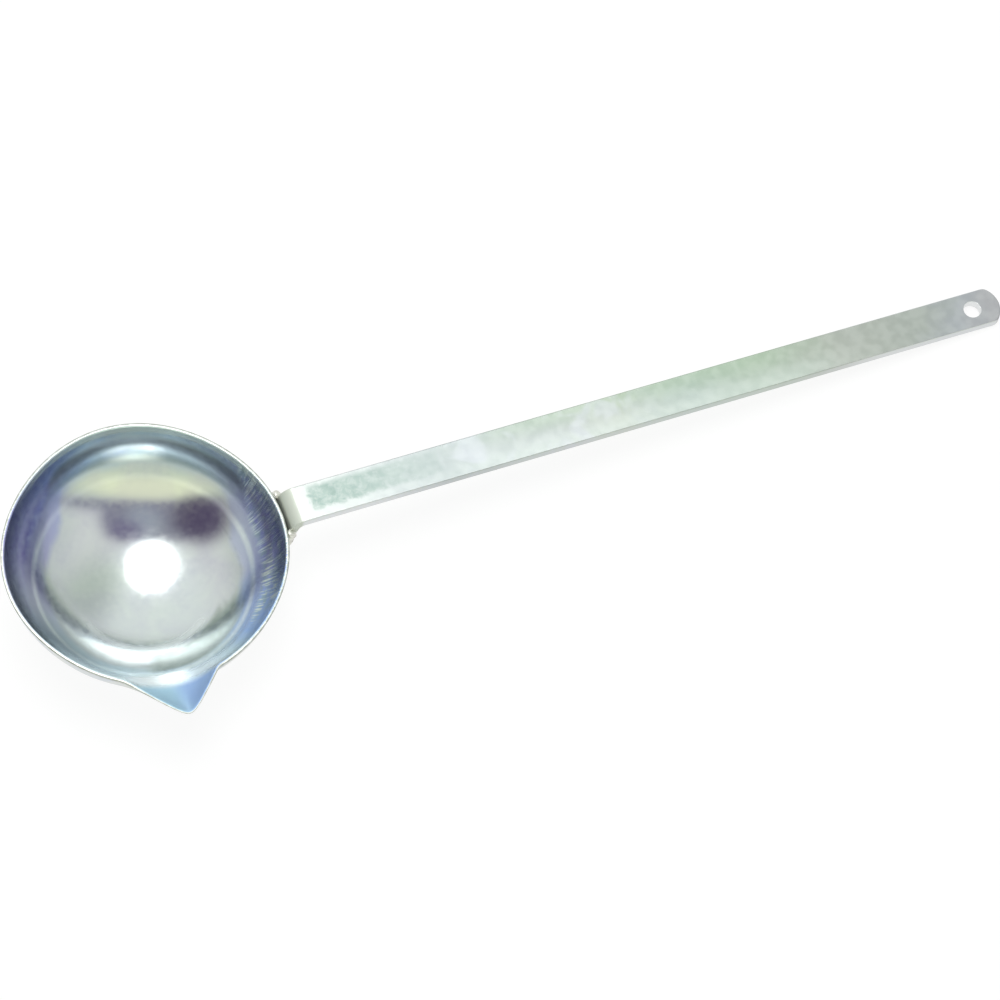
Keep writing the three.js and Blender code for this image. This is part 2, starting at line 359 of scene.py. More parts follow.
def bar_layout():
    """The flat face's points and its quads."""
    across = np.linspace(-BAR_WIDTH / 2, BAR_WIDTH / 2, COLUMNS + 1)
    bend_length = BEND_OUTER * TAB_SLOPE
    straight = np.linspace(RING_START, BEND_X, 70, endpoint=False)
    bend = np.linspace(BEND_X, BEND_X - bend_length, 22, endpoint=False)
    tab = np.linspace(BEND_X - bend_length, BEND_X - bend_length - TAB_LENGTH + SKIN, 9)
    rows = np.concatenate([straight, bend, tab])
    plain = np.stack(np.meshgrid(rows, across, indexing="ij"), axis=-1)
    plain_faces = grid_faces(len(rows), COLUMNS + 1)[:, ::-1]
    outline = np.vstack([tip_outline(), plain[0, 1:-1]])
    spoke = outline - np.array([HOLE_X, 0.0])
    unit = spoke / np.linalg.norm(spoke, axis=1, keepdims=True)
    hole = np.array([HOLE_X, 0.0]) + unit * HOLE_RADIUS
    share = np.linspace(0.0, 1.0, 9)[:, None, None]
    ring = hole + (outline - hole) * share
    ring_faces = grid_faces(9, len(outline), wrap_columns=True)
    points = np.vstack([plain.reshape(-1, 2), ring.reshape(-1, 2)])
    faces = np.vstack([plain_faces, ring_faces + plain.shape[0] * plain.shape[1]])
    return points, faces


# %% [markdown]
# ## Joining the face to its underside
#
# Where the face's two grids meet, their points become one. An edge that only one quad uses is on the
# outline or the hole, and a wall is built down from each.

# %% Close the handle
def weld_points(points, faces):
    """Points that coincide become one, and faces use the one that is left."""
    key = np.round(points * 1e5).astype(np.int64)
    _, first, inverse = np.unique(key, axis=0, return_index=True, return_inverse=True)
    return points[first], inverse.reshape(-1)[faces]


flat_points, flat_faces = weld_points(*bar_layout())
corners = flat_points[flat_faces]
turning = np.cross(corners[:, 1] - corners[:, 0], corners[:, 2] - corners[:, 1])
flat_faces = np.where((turning < 0)[:, None], flat_faces[:, ::-1], flat_faces)
edges = np.stack([flat_faces, np.roll(flat_faces, -1, axis=1)], axis=-1).reshape(-1, 2)
seen = set(map(tuple, edges.tolist()))
border = np.array([e for e in seen if (e[1], e[0]) not in seen])
count = len(flat_points)
top = carry(flat_points, 0.0)
under = carry(flat_points, BAR_THICKNESS)
walls = np.stack([border[:, 1], border[:, 0], border[:, 0] + count, border[:, 1] + count], axis=1)
handle_faces = np.vstack([flat_faces, flat_faces[:, ::-1] + count, walls])
handle = add_piece("handle_bar", in_place(np.vstack([top, under])), handle_faces)

# %% [markdown]
# ## The handle's rounded edges
#
# Rolled bar has soft edges, and a punched hole a smaller round. Each edge's weight is its share of the
# bevel's width, and the edges inside the flat faces have none.

# %% Round the handle's edges
EDGE_BEVEL = 0.75  # millimetres
HOLE_SHARE = 0.4  # of that width, at the hole's edge

from_hole = np.linalg.norm(flat_points - np.array([HOLE_X, 0.0]), axis=1)
at_hole = from_hole < HOLE_RADIUS + 0.01
on_border = np.zeros(count, bool)
on_border[border.reshape(-1)] = True
ends = np.empty(len(handle.data.edges) * 2, np.int64)
handle.data.edges.foreach_get("vertices", ends)
ends = ends.reshape(-1, 2)
border_pairs = {tuple(sorted(e)) for e in border.tolist()}
weights = np.zeros(len(ends))
for offset in (0, count):
    level = ends - offset
    along_border = np.array([tuple(sorted(e)) in border_pairs for e in level.tolist()])
    start = np.clip(level[:, 0], 0, count - 1)
    weights = np.where(along_border, np.where(at_hole[start], HOLE_SHARE, 1.0), weights)
weight = handle.data.attributes.new("bevel_weight_edge", "FLOAT", "EDGE")
weight.data.foreach_set("value", weights.astype(np.float32))
rounding = handle.modifiers.new("rolled_edges", "BEVEL")
rounding.width = EDGE_BEVEL * MM
rounding.segments = 4
rounding.limit_method = "WEIGHT"
rounding.harden_normals = True
print("edges to round:", int((weights > 0).sum()))

# %% [markdown]
# ## The weld beads
#
# A fillet weld is laid as a row of overlapping puddles, each frozen with a ripple at its edge. Its
# surface is a tube down the corner between the tab's edge and the wall, whose radius swells and shrinks
# once for each puddle and closes at both ends, and it wanders a little. Where the CAD bead keeps a
# small gap, this one sinks into both steels, as a fused weld does.

# %% Build the weld beads
BEAD_RADIUS = 1.9
PUDDLE_STEP = 1.6
BEAD_SHORTER = 0.5  # than the tab
BEAD_OUT = 0.75  # from the tab's edge to the bead's middle
BEAD_SUNK, BEAD_WANDER = 0.1, 0.16
tab_top = np.array([BEND_X - BEND_OUTER * tab_sin, 0.0, bend_z + BEND_OUTER * tab_cos])
tab_down = np.array([-tab_cos, 0.0, -tab_sin])
tab_out = np.array([-tab_sin, 0.0, tab_cos])


def bead_surface(side, phase, rings=110, sides=40):
    """A closed tube of puddles down one edge of the tab.

    The first parameter is the distance down the tab and the second the turn round the bead. The
    radius is the bead's own, times the square root of a rounded end on each side, times one plus a
    saw-toothed ripple for the puddles and two slow cosines for unevenness.
    """
    length = TAB_LENGTH - BEAD_SHORTER
    place = 0.5 * (1 - np.cos(np.linspace(0.0, np.pi, rings)))
    distance = place * length
    step = (distance / PUDDLE_STEP + phase) % 1.0
    ripple = 0.13 * (1 - step) ** 1.5
    slow = 0.07 * np.cos(distance * 1.1 + 2 * phase) + 0.05 * np.cos(distance * 2.3 + phase)
    closing = np.clip(1 - (2 * place - 1) ** 8, 0.0, 1.0) ** 0.5
    radius = BEAD_RADIUS * closing * (0.92 + ripple + slow)
    turn = np.linspace(0.0, 2 * np.pi, sides, endpoint=False)
    offset = BEAD_WANDER * np.cos(distance * 1.7 + 3 * phase)
    centre = tab_top + distance[:, None] * tab_down + (offset - BEAD_SUNK)[:, None] * tab_out
    centre = centre + np.array([0.0, side * (BAR_WIDTH / 2 + BEAD_OUT), 0.0])
    lumps = 1 + 0.05 * np.cos(3 * turn[None, :] + distance[:, None] * 1.9 + phase)
    ring = np.cos(turn)[None, :, None] * tab_out + np.sin(turn)[None, :, None] * np.array([0.0, 1.0, 0.0])
    return centre[:, None, :] + radius[:, None, None] * lumps[..., None] * ring


beads = []
for name, side, phase in (("weld_spout_side", -1, 0.2), ("weld_far_side", 1, 0.65)):
    surface = bead_surface(side, phase)
    faces = grid_faces(*surface.shape[:2], wrap_columns=True)
    beads.append(add_piece(name, in_place(surface.reshape(-1, 3)), faces, merge=1e-7))

# %% [markdown]
# ## Outward faces
#
# A grid's faces can come out facing in, depending on which way its two parameters run. A closed piece
# whose enclosed volume comes out negative is turned round.

# %% Turn faces outwards
def volume_of(mesh):
    """The signed volume: a sixth of the sum of each triangle's corners' triple product."""
    mesh.calc_loop_triangles()
    corner = np.empty(len(mesh.loop_triangles) * 3, np.int64)
    mesh.loop_triangles.foreach_get("vertices", corner)
    points = np.empty(len(mesh.vertices) * 3)
    mesh.vertices.foreach_get("co", points)
    a, b, c = points.reshape(-1, 3)[corner.reshape(-1, 3)].transpose(1, 0, 2)
    return float(np.einsum("ij,ij->i", a, np.cross(b, c)).sum() / 6)


for piece in (bowl, handle, *beads):
    volume = volume_of(piece.data)
    if volume < 0:
        piece.data.flip_normals()
    print(piece.name, "encloses", round(volume_of(piece.data) / MM**3), "cubic mm")

# %% [markdown]
# ## Colours
#
# Colours are written as the sRGB hex values a paint program shows. Cycles works in linear light, so
# one function converts them.

# %% Colours
def linear(hex_colour):
    """An sRGB hex colour as linear red, green, blue and an alpha of one."""
    value = np.array([int(hex_colour[i : i + 2], 16) for i in (1, 3, 5)]) / 255
    value = np.where(value <= 0.04045, value / 12.92, ((value + 0.055) / 1.055) ** 2.4)
    return (*value.tolist(), 1.0)


print("mid grey in linear light:", round(linear("#808080")[0], 3))

# %% [markdown]
# ## Nodes
#
# One function adds any node, with its settings and links. The nodes that come back often are listed
# once, by what they do: EASE and SLIDE take a value from one range to another, softly or in a straight
# line, and MIX mixes two colours. Values go to the inputs in the order that Blender shows them.

# %% Nodes
ADD, LESS, TIMES, OVER, LARGER, SQUARE_ROOT, UNSIGNED, ANGLE = (
    ("ShaderNodeMath", {"operation": operation})
    for operation in "ADD SUBTRACT MULTIPLY DIVIDE MAXIMUM SQRT ABSOLUTE ARCTAN2".split()
)
TOWARDS = ("ShaderNodeVectorMath", {"operation": "DOT_PRODUCT"})
EASE = ("ShaderNodeMapRange", {"interpolation_type": "SMOOTHSTEP"})
SLIDE = ("ShaderNodeMapRange", {"interpolation_type": "LINEAR"})
MIX = ("ShaderNodeMix", {"data_type": "RGBA"})
RAMP = ("ShaderNodeValToRGB", {})
NOISE = ("ShaderNodeTexNoise", {})
METAL = ("ShaderNodeBsdfPrincipled", {})
SURFACE = ("ShaderNodeOutputMaterial", {})


def node(tree, kind, *values, stops=(), **inputs):
    """Adds a node and returns its first live output.

    The kind is the node's type and settings. Values go to its live inputs in order, or to inputs by
    name, with underscores for spaces. Each is a socket to link, or a value to set, and a hex colour
    is made linear. Stops are a ramp's places and hex colours.
    """
    made = tree.nodes.new(kind[0])
    for key, value in kind[1].items():
        setattr(made, key, value)
    while stops and len(made.color_ramp.elements) < len(stops):
        made.color_ramp.elements.new(0.5)
    for (place, colour), element in zip(stops, made.color_ramp.elements if stops else ()):
        element.position, element.color = place, linear(colour)
    live = [socket for socket in made.inputs if socket.enabled]
    named = [(made.inputs[key.replace("_", " ")], value) for key, value in inputs.items()]
    for socket, value in [*zip(live, values), *named]:
        if isinstance(value, bpy.types.NodeSocket):
            tree.links.new(value, socket)
        else:
            socket.default_value = linear(value) if isinstance(value, str) else value
    return next((socket for socket in made.outputs if socket.enabled), None)


def emptied(owner):
    """Clears the nodes of a material or world, and returns the function that adds to them."""
    owner.use_nodes = True
    owner.node_tree.nodes.clear()
    return partial(node, owner.node_tree)


# %% [markdown]
# ## Soft-edged areas
#
# Plating has no sharp borders, so each change in it is held to a soft-edged area: a number that is one
# inside and nothing outside, made by multiplying such numbers together.

# %% Soft-edged areas
def product(add, *values):
    """Several values multiplied together."""
    return reduce(partial(add, TIMES), values)


def window(add, value, low, high, edge):
    """One between two values, easing to nothing over the edge on each side."""
    rising, falling = (low - edge, low + edge), (high + edge, high - edge)
    return add(TIMES, add(EASE, value, *rising), add(EASE, value, *falling))


def film_along(add, value, film):
    """The colour at a value, from a film's list of places and hex colours."""
    low, high = film[0][0], film[-1][0]
    stops = [((place - low) / (high - low), colour) for place, colour in film]
    return add(RAMP, add(SLIDE, value, low, high), stops=stops)


# %% [markdown]
# ## Measures that the materials follow
#
# The plating changes with the place on the ladle, so every mesh carries its place in the level ladle,
# in millimetres, and the patterns' scales are real sizes. The bowl also carries how deep a point is in
# the sheet, which tells its outside, cut edge and inside apart.

# %% Store the measures on the meshes
def level_of(piece):
    """The vertices of a piece in level-ladle millimetres."""
    points = np.empty(len(piece.data.vertices) * 3)
    piece.data.vertices.foreach_get("co", points)
    return (points.reshape(-1, 3) - LADLE_ORIGIN) @ LEVEL_AXES.T / MM


for piece in (bowl, handle, *beads):
    place = piece.data.attributes.new("level_mm", "FLOAT_VECTOR", "POINT")
    place.data.foreach_set("vector", level_of(piece).astype(np.float32).reshape(-1))

bowl_level = level_of(bowl)
bowl_angle = np.arctan2(bowl_level[:, 1], bowl_level[:, 0])
unpulled = np.hypot(bowl_level[:, 0], bowl_level[:, 1]) - pull(bowl_angle, bowl_level[:, 2])
from_floor = FLOOR_RADIUS - np.hypot(unpulled, bowl_level[:, 2] - floor_z)
from_knee = KNEE_RADIUS - np.hypot(unpulled - knee_x, bowl_level[:, 2] - knee_z)
on_knee = (unpulled - knee_x) > (knee_z - bowl_level[:, 2]) * np.tan(KNEE_START)
inset = np.where(on_knee, from_knee, from_floor)
depth_attribute = bowl.data.attributes.new("inset_mm", "FLOAT", "POINT")
depth_attribute.data.foreach_set("value", inset.astype(np.float32))
print("inset in mm from", round(float(inset.min()), 3), "to", round(float(inset.max()), 3))


def level_place(add):
    """The place in the level ladle: the whole vector, and its three parts."""
    stored = add(("ShaderNodeAttribute", {"attribute_name": "level_mm"})).node.outputs["Vector"]
    parts = add(("ShaderNodeSeparateXYZ", {}), stored).node.outputs
    return stored, parts["X"], parts["Y"], parts["Z"]


# %% [markdown]
# ## Areas on the bowl
#
# Where the colour is brighter, duller or paler than round it, from the film and from painted light and
# shade, the area is a span of turns and a span of distances from the axis.

# %% Areas on the bowl
# spans are from, to and softness: turns in degrees, distances in millimetres
NEAR_SPOUT, TURNED_RING = (-162.0, -48.0, 10.0), (20.8, 23.4, 0.9)
BRIGHT_PATCH_TURNS, BRIGHT_PATCH_RING = (-162.0, -112.0, 14.0), (22.5, 30.0, 2.0)
SHADED_PATCH_TURNS, SHADED_PATCH_RING = (-106.0, -34.0, 8.0), (24.8, 33.4, 1.0)
HIGHLIGHT_SPOT_TURNS, HIGHLIGHT_SPOT_RING = (66.0, 86.0, 7.0), (38.6, 41.4, 0.8)
ROOT_HIGHLIGHT_TURNS, ROOT_HIGHLIGHT_RING = (-117.0, -90.0, 7.0), (35.6, 41.8, 1.2)
DARK_LINE_TURNS, DARK_LINE_RING = (-34.0, 22.0, 8.0), (31.0, 31.4, 0.5)
SHADED_RING, SHADE_LINE_RING, PAINTED_HIGHLIGHT_RING = (38.6, 42.6, 0.7), (40.7, 42.4, 0.5), (34.0, 35.4, 0.6)
SPOUT_TURNS = (-114.0, -74.0, 8.0)
MILKY_TURNS = (-150.0, -30.0, 12.0)
INSIDE = (0.6, 0.85)  # depth in the sheet, in millimetres, over which the film begins


def area(add, turns, turn_span, distances, distance_span):
    """One inside a span of turns and a span of distances."""
    return add(TIMES, window(add, turns, *turn_span), window(add, distances, *distance_span))


print("painted highlight ring width in mm:", round(PAINTED_HIGHLIGHT_RING[1] - PAINTED_HIGHLIGHT_RING[0], 1))


# %% [markdown]
# ## Blue-passivated zinc on the bowl
#
# The finish is taken to be electroplated zinc under a blue chromate passivate, a clear film thin enough
# to show interference colours: silver on the floor, blue or violet up the wall, palest at the spout. To
# the eye that is glossy steel with a cold, shifting tint. The film is drawn as the metal's own colour, by
# turn and distance from the axis, stirred by slow noise so that no band has a straight edge. Its
# lightness round the wall is also set to stand in for how bright the reflections are there, so the wall's
# colour is partly the film's tint and partly painted reflection.

# %% What the bowl's film follows
# the wall's colour by turn: partly the film's tint, partly painted reflection brightness
WALL_TINT_AND_REFLECTION = (  # turn in degrees, colour
    (-180, "#c3c5dc"), (-150, "#cfe2ec"), (-120, "#dceef3"), (-103, "#e6f1f6"), (-94, "#d6e8f6"),
    (-77, "#ecf8fc"), (-64, "#dcf4fe"), (-50, "#a8caff"), (-32, "#a9c2f8"), (-14, "#c6c8ee"),
    (22, "#bec6dd"), (70, "#b8c8d6"), (100, "#bccddf"), (121, "#a9b3da"), (155, "#9c99c8"),
    (180, "#c3c5dc"),
)
SLOW_LUMP, FINE_LUMP = 16.0, 2.2  # millimetres
STIR_DISTANCE, STIR_TURN = 5.0, 60.0  # how far slow noise shifts a border, in mm and degrees


def bowl_measures(add):
    """What the bowl's layers follow: place, depth in the sheet, turn, distance and two noises."""
    level, x, y, z = level_place(add)
    inset = add(("ShaderNodeAttribute", {"attribute_name": "inset_mm"})).node.outputs["Fac"]
    clouds = add(NOISE, level, Scale=1 / SLOW_LUMP, Detail=3.0, Roughness=0.55, Distortion=0.6)
    slow = add(LESS, clouds, 0.5)
    fine = add(NOISE, level, Scale=1 / FINE_LUMP, Detail=4.0, Roughness=0.65)
    radius = add(SQUARE_ROOT, add(ADD, add(TIMES, x, x), add(TIMES, y, y)))
    turn = add(ANGLE, y, x)
    degrees = add(TIMES, turn, 180 / np.pi)
    return SimpleNamespace(
        level=level, y=y, z=z, inset=inset, slow=slow, fine=fine, radius=radius, turn=turn,
        degrees=degrees,
        stirred=add(ADD, radius, add(TIMES, slow, STIR_DISTANCE)),
        wavy=add(ADD, degrees, add(TIMES, slow, STIR_TURN)),
        top=window(add, degrees, 18.0, 122.0, 14.0),  # the side away from the spout
        turned=area(add, degrees, NEAR_SPOUT, radius, TURNED_RING),
    )


# %% [markdown]
# ### The bowl's wall
#
# Under the rim on the side away from the spout the wall is painted paler, a painted reflection. On the
# handle's side it is greener, perhaps from the weld's heat, and there are fine upright scratches, such as
# a die leaves when it draws the sheet. They are noise that is stretched down the wall, coarse enough to
# show.

# %% The bowl's wall
DRAW_MARK, MARK_PATCH = 0.7, 6.0  # millimetres


def wall_film_and_reflections(add, here):
    """The wall's colour, and the share of the painted reflection band under its rim."""
    wall = film_along(add, here.degrees, WALL_TINT_AND_REFLECTION)
    wall = add(MIX, add(EASE, here.fine, 0.3, 0.75, 0.0, 0.3), wall, "#cfdcdc")
    # painted reflection: a paler band under the rim on the side away from the spout
    rim_reflection_band = add(TIMES, add(EASE, here.z, -4.2, -2.0), window(add, here.wavy, 5.0, 130.0, 25.0))
    wall = add(MIX, add(TIMES, rim_reflection_band, 0.85), wall, "#e4efe8")
    weld_side = add(TIMES, window(add, here.wavy, -38.0, 38.0, 10.0), add(EASE, here.z, -24.0, -14.0))
    tinted = product(add, weld_side, add(EASE, here.fine, 0.35, 0.65), 0.6)
    wall = add(MIX, tinted, wall, "#a9c4bd")
    round_wall = add(ADD, add(TIMES, here.turn, RIM_RADIUS), add(TIMES, here.z, 0.05))
    stretched = add(("ShaderNodeCombineXYZ", {}), round_wall, add(TIMES, here.z, 0.07))
    scratches = add(NOISE, stretched, Scale=1 / DRAW_MARK, Detail=2.0, Roughness=0.6)
    patches = add(NOISE, here.level, Scale=1 / MARK_PATCH, Detail=2.0)
    marks = product(add, weld_side, add(EASE, scratches, 0.5, 0.58), add(EASE, patches, 0.34, 0.5))
    return add(MIX, marks, wall, "#f4fff2"), rim_reflection_band


# %% [markdown]
# ### The bowl's floor and knee
#
# The floor is almost bare silver, with a brighter patch beside the spout and, on the spout's other side,
# a darker patch of painted shade. At the knee the wall's tint begins, greyed. Away from the spout a ring
# is painted duller, as painted shade over the reflections there, with a darker painted line in it, broken
# by one painted highlight.

# %% The bowl's floor and knee
def floor_film_and_shade(add, here):
    """The colour from the middle of the floor out to the top of the knee."""
    silver = add(MIX, add(EASE, here.slow, -0.2, 0.2), "#c1c5ca", "#c9d0cd")
    silver = add(MIX, add(EASE, here.fine, 0.3, 0.7, 0.0, 0.2), silver, "#d6dad6")
    bright_patch = area(add, here.wavy, BRIGHT_PATCH_TURNS, here.stirred, BRIGHT_PATCH_RING)
    silver = add(MIX, add(TIMES, bright_patch, 0.85), silver, "#eef3f1")
    silver = add(MIX, add(TIMES, here.turned, 0.7), silver, "#e0e6e4")
    knee = add(MIX, 0.4, film_along(add, here.degrees, WALL_TINT_AND_REFLECTION), "#b9bec6")
    begins = add(LESS, here.stirred, add(TIMES, here.top, 7.0))
    film = add(MIX, add(EASE, begins, 29.5, 32.5), silver, knee)
    # painted shade: a darker patch beside the spout, where the reflections are darker
    shaded_patch = area(add, here.wavy, SHADED_PATCH_TURNS, here.radius, SHADED_PATCH_RING)
    return add(MIX, add(TIMES, shaded_patch, 0.9), film, "#a9b1ac")


def painted_knee_shade_and_highlight(add, here, film):
    """The painted shade of the dull ring, the darker painted line in it, and the painted highlight spot
    that interrupts both.
    """
    # painted highlight: a bright spot on the far side of the knee
    highlight_spot = area(add, here.degrees, HIGHLIGHT_SPOT_TURNS, here.radius, HIGHLIGHT_SPOT_RING)
    # painted shade: a duller ring round the knee, and a darker painted line in it
    dulled_ring = add(TIMES, here.top, window(add, here.radius, *SHADED_RING))
    dulled_ring = add(TIMES, dulled_ring, add(SLIDE, highlight_spot, 0.0, 1.0, 1.0, 0.0))
    film = add(MIX, add(TIMES, dulled_ring, 0.9), film, "#98a2a4")
    line = add(TIMES, dulled_ring, window(add, here.radius, *SHADE_LINE_RING))
    film = add(MIX, add(TIMES, line, 0.5), film, "#7f8b93")
    return add(MIX, highlight_spot, film, "#f2f7f5")


# %% [markdown]
# ### The spout, the painted highlight ring and the darker line
#
# A pale ring of painted highlight runs round where the knee turns up, and on the handle's side there is a
# thin darker line. The spout's root is painted nearly white, a painted highlight, and its flanks are
# blue.

# %% The spout, the painted highlight ring and the darker line
def spout_line_and_highlights(add, here, film):
    """The film with the painted highlights and the darker line, and the share of the spout's flanks."""
    # painted highlight: a pale ring round where the knee turns up
    ring = add(TIMES, window(add, here.radius, *PAINTED_HIGHLIGHT_RING), add(EASE, here.y, 30.0, 8.0, 0.12, 0.6))
    film = add(MIX, ring, film, "#f2f8f9")
    # painted highlight: the spout's root is painted nearly white
    root = area(add, here.degrees, ROOT_HIGHLIGHT_TURNS, here.radius, ROOT_HIGHLIGHT_RING)
    film = add(MIX, add(TIMES, root, 0.85), film, "#f6fbfb")
    in_spout = add(TIMES, window(add, here.degrees, *SPOUT_TURNS), add(EASE, here.radius, 39.0, 43.5))
    flanks = add(MIX, add(EASE, here.degrees, -99.0, -90.0), "#b9def0", "#a3c2ee")
    film = add(MIX, in_spout, film, flanks)
    # a thin darker line on the handle's side
    dark_line = area(add, here.degrees, DARK_LINE_TURNS, here.radius, DARK_LINE_RING)
    dark_line_share = product(add, dark_line, add(EASE, here.fine, 0.3, 0.6), 0.3)
    return add(MIX, dark_line_share, film, "#8d97a0"), root, in_spout


# %% [markdown]
# ### The bowl's outside and cut edge
#
# The outside is made paler and more even than the inside, and just under the rim it is painted darker, as
# painted shade. The cut edge is duller than the sheet beside it, so to the eye it is a grey line between
# two bright faces.

# %% The bowl's outside and cut edge
def outside_film_and_shade(add, here):
    """The outside's colour, with painted shade just under the rim, by height and by depth in the sheet.
    """
    film = add(MIX, add(EASE, here.slow, -0.15, 0.15), "#c6ced6", "#d6d9d2")
    # painted shade: the outside is darker just under the rim
    shaded_rim = add(MIX, add(EASE, here.fine, 0.35, 0.65), "#a9ada3", "#c6cac6")
    film = add(MIX, add(EASE, here.z, -1.6, -0.6), film, shaded_rim)
    cut_edge = add(MIX, add(EASE, here.fine, 0.35, 0.7), "#a9aca5", "#c8cbc7")
    return add(MIX, add(EASE, here.inset, 0.15, 0.4), film, cut_edge)


# %% [markdown]
# ### The bowl's material
#
# Each layer lies over the one before, and the outside takes over with depth in the sheet. A milky film
# shows less of the metal's mirror, so those areas are less metallic. The spout is the roughest part, so
# its reflections are the softest.

# %% Bowl material
def bowl_zinc():
    material = bpy.data.materials.new("zinc_plate_blue_passivate")
    add = emptied(material)
    here = bowl_measures(add)
    wall, rim_reflection_band = wall_film_and_reflections(add, here)
    film = painted_knee_shade_and_highlight(add, here, floor_film_and_shade(add, here))
    begins = add(LESS, here.radius, add(TIMES, here.top, 5.6))
    film = add(MIX, add(EASE, begins, 36.4, 38.2), film, wall)
    film, root, in_spout = spout_line_and_highlights(add, here, film)
    tint = add(MIX, add(EASE, here.inset, *INSIDE), outside_film_and_shade(add, here), film)
    rough = add(ADD, add(EASE, here.fine, 0.3, 0.7, 0.14, 0.2), add(TIMES, in_spout, 0.24))
    rough = add(ADD, rough, add(EASE, here.radius, 33.5, 38.0, 0.0, 0.06))
    milky = add(TIMES, window(add, here.degrees, *MILKY_TURNS), add(EASE, here.radius, 35.0, 38.0))
    milky = add(LARGER, milky, add(TIMES, rim_reflection_band, 0.7))
    milky = add(LARGER, milky, add(TIMES, here.turned, 0.8))
    milky = add(TIMES, add(LARGER, milky, root), add(EASE, here.inset, *INSIDE))
    metallic = add(SLIDE, milky, 0.0, 1.0, 1.0, 0.42)
    add(SURFACE, Surface=add(METAL, Base_Color=tint, Roughness=rough, Metallic=metallic))
    return material


bowl_finish = bowl_zinc()
print("bowl nodes:", len(bowl_finish.node_tree.nodes))

# %% [markdown]
# ## Satin zinc on the handle
#
# The same plating is satin here, as it would be over the duller skin of hot-rolled bar: to the eye, soft
# grey with no clear reflections. The film changes slowly along the bar, from mint to a warm grey at the
# far end, and it is greener towards the far edge.

# %% The bar's film
BAR_FILM = (  # distance from the bowl's axis in millimetres, colour
    (41, "#bfc4b8"), (53, "#c2c6c4"), (75, "#bcc1c1"), (97, "#adb4b5"), (139, "#b6babb"),
    (160, "#b5bab2"), (182, "#a8b4af"), (209, "#a5b2a5"), (237, "#a8aca5"), (265, "#a1a6a1"),
    (280, "#a3a6ab"), (295, "#a8a7ab"),
)
BAR_CLOUD, BAR_GRAIN, HEAT_CLOUD = 13.0, 3.2, 2.6  # millimetres
BAR_STIR, HEAT_STIR = 26.0, 3.0  # how far noise shifts a border, in millimetres


def bar_film(add, stirred, y):
    """The film's colour along the bar, greener on the far side and paler on the near one."""
    tint = film_along(add, stirred, BAR_FILM)
    far_side = add(TIMES, add(EASE, y, -3.0, 6.0), window(add, stirred, 115.0, 225.0, 25.0))
    tint = add(MIX, add(TIMES, far_side, 0.55), tint, "#a5b8a0")
    near_side = add(TIMES, add(EASE, y, 2.0, -5.0), window(add, stirred, 105.0, 230.0, 25.0))
    return add(MIX, add(TIMES, near_side, 0.5), tint, "#cdd5d0")


# %% [markdown]
# ### Heat clouds, and painted highlights on the sides and hole
#
# Next to the weld are teal clouds on a paler ground, where the heat of welding may have changed how the
# steel took its film. The bar's sides are painted paler near both ends, and the wall of the hole is
# painted bright: both are painted highlights.

# %% Heat clouds, painted side and hole highlights
def heat_clouds(add, level, x, y, tint):
    """Teal clouds beside the weld, fading along the bar."""
    cloud = add(NOISE, level, Scale=1 / HEAT_CLOUD, Detail=4.0, Roughness=0.62, Distortion=0.4)
    along = add(ADD, x, add(TIMES, cloud, HEAT_STIR))
    across = add(ADD, y, add(TIMES, cloud, HEAT_STIR))
    heat = add(TIMES, window(add, along, 56.2, 100.0, 0.8), window(add, across, -1.6, 6.3, 1.0))
    fading = add(EASE, along, 108.0, 62.0, 0.2, 1.0)
    heat = product(add, heat, fading, add(EASE, cloud, 0.3, 0.62, 0.55, 1.0))
    return add(MIX, heat, tint, "#8c9e98")


def painted_side_and_hole_highlights(add, x, y, tint):
    """Painted highlights: paler sides near the ends, and the bright wall of the hole."""
    # painted highlight: the bar's sides are paler near both ends
    on_side = add(EASE, add(UNSIGNED, y), 5.9, 6.25)
    near_ends = add(ADD, add(EASE, x, 112.0, 70.0), add(EASE, x, 215.0, 255.0))
    tint = add(MIX, product(add, on_side, near_ends, 0.8), tint, "#dcdfe0")
    # painted highlight: the wall of the hole is painted bright
    from_x = add(LESS, x, float(HOLE_X))
    from_hole = add(SQUARE_ROOT, add(ADD, add(TIMES, from_x, from_x), add(TIMES, y, y)))
    in_hole = add(EASE, from_hole, HOLE_RADIUS + 0.2, HOLE_RADIUS + 0.05)
    return add(MIX, add(TIMES, in_hole, 0.85), tint, "#eceeee")


# %% [markdown]
# ### The handle's material
#
# Across the bend the bar is painted lighter, as painted light that evens out the shade in the bend, and
# it is rougher and less metallic. A last blend with fine noise gives the bar its satin grain.

